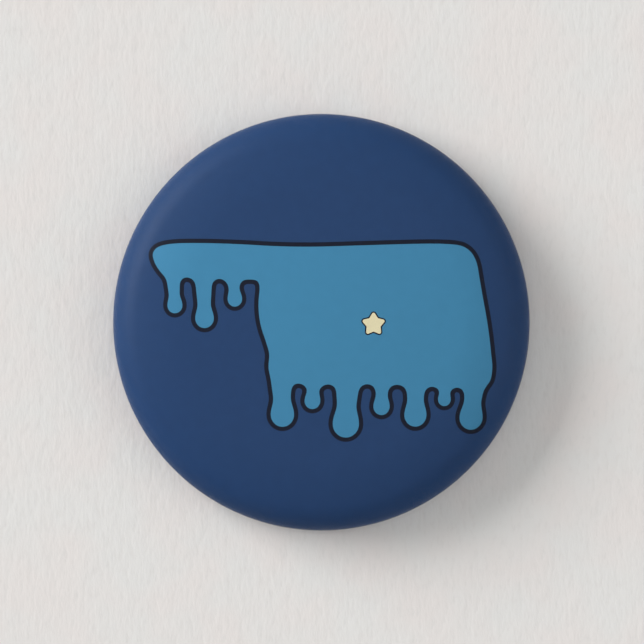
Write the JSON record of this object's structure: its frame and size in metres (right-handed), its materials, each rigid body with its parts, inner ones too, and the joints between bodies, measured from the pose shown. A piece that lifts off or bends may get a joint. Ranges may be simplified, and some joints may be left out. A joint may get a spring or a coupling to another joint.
{
  "type": "button badge",
  "caption": "Round pin-back button badge: a domed printed face under clear film, crimped over a tinplate back with a sprung lock pin.",
  "frame": {"origin": "on the badge's axis, in the plane it rests on when it lies on its back", "axes": "+Z out of the face, +X along the pin from its bend to its point, +Y to the top of the face"},
  "size_m": [0.032, 0.032, 0.0052],
  "materials": {
    "film": "satin",
    "print": "matte",
    "tinplate": "satin",
    "back_tinplate": "satin",
    "wire": "polished"
  },
  "bodies": {
    "badge": {"clear_film": "film", "printed_paper": "print", "front_shell": "tinplate", "back_plate": "back_tinplate", "pin_anchor_leg": "wire", "pin_spring_bend": "wire"},
    "pin": {"pin_needle": "wire"}
  },
  "joints": [
    {"name": "pin_swing", "type": "hinge", "parent": "badge", "child": "pin", "pos_m": [-0.009, 0.00114, 0.00185], "axis": [0, 0.5736, -0.8192], "range_deg": [0, 60], "stiffness_Nm_per_rad": 0.02, "deforming": ["pin_spring_bend"]}
  ]
}
